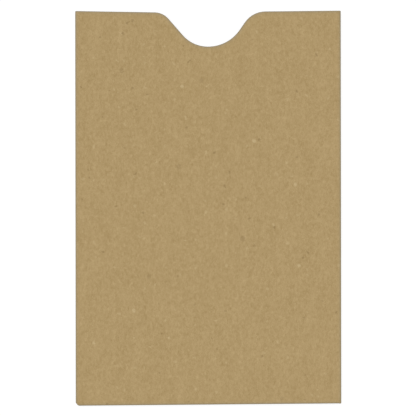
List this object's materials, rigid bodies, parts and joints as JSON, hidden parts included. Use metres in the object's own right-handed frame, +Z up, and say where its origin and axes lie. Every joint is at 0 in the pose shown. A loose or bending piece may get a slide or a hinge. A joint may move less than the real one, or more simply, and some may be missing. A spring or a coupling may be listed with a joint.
{
  "type": "paper card sleeve",
  "caption": "Flat kraft board sleeve for a bank-sized card: folded and glued on the sides and bottom, open at the top, with a round thumb notch through both panels.",
  "frame": {"origin": "middle of the sleeve's footprint, on the table under the back panel", "axes": "+X across the width towards the side fold, +Y along the height towards the open mouth, +Z up out of the front panel"},
  "size_m": [0.06, 0.0892, 0.0019],
  "materials": {
    "kraft_board": "matte",
    "dried_glue": "satin"
  },
  "bodies": {
    "sleeve": {"back_panel": "kraft_board", "spine_fold": "kraft_board", "side_fold": "kraft_board", "side_flap": "kraft_board", "bottom_fold": "kraft_board", "bottom_flap": "kraft_board", "side_glue": "dried_glue", "bottom_glue": "dried_glue"},
    "front": {"front_panel": "kraft_board"}
  },
  "joints": [
    {"name": "mouth_gape", "type": "hinge", "parent": "sleeve", "child": "front", "pos_m": [0, -0.04385, 0.00195], "axis": [1, 0.0073, 0], "range_deg": [0, 5], "stiffness_Nm_per_rad": 0.1}
  ]
}
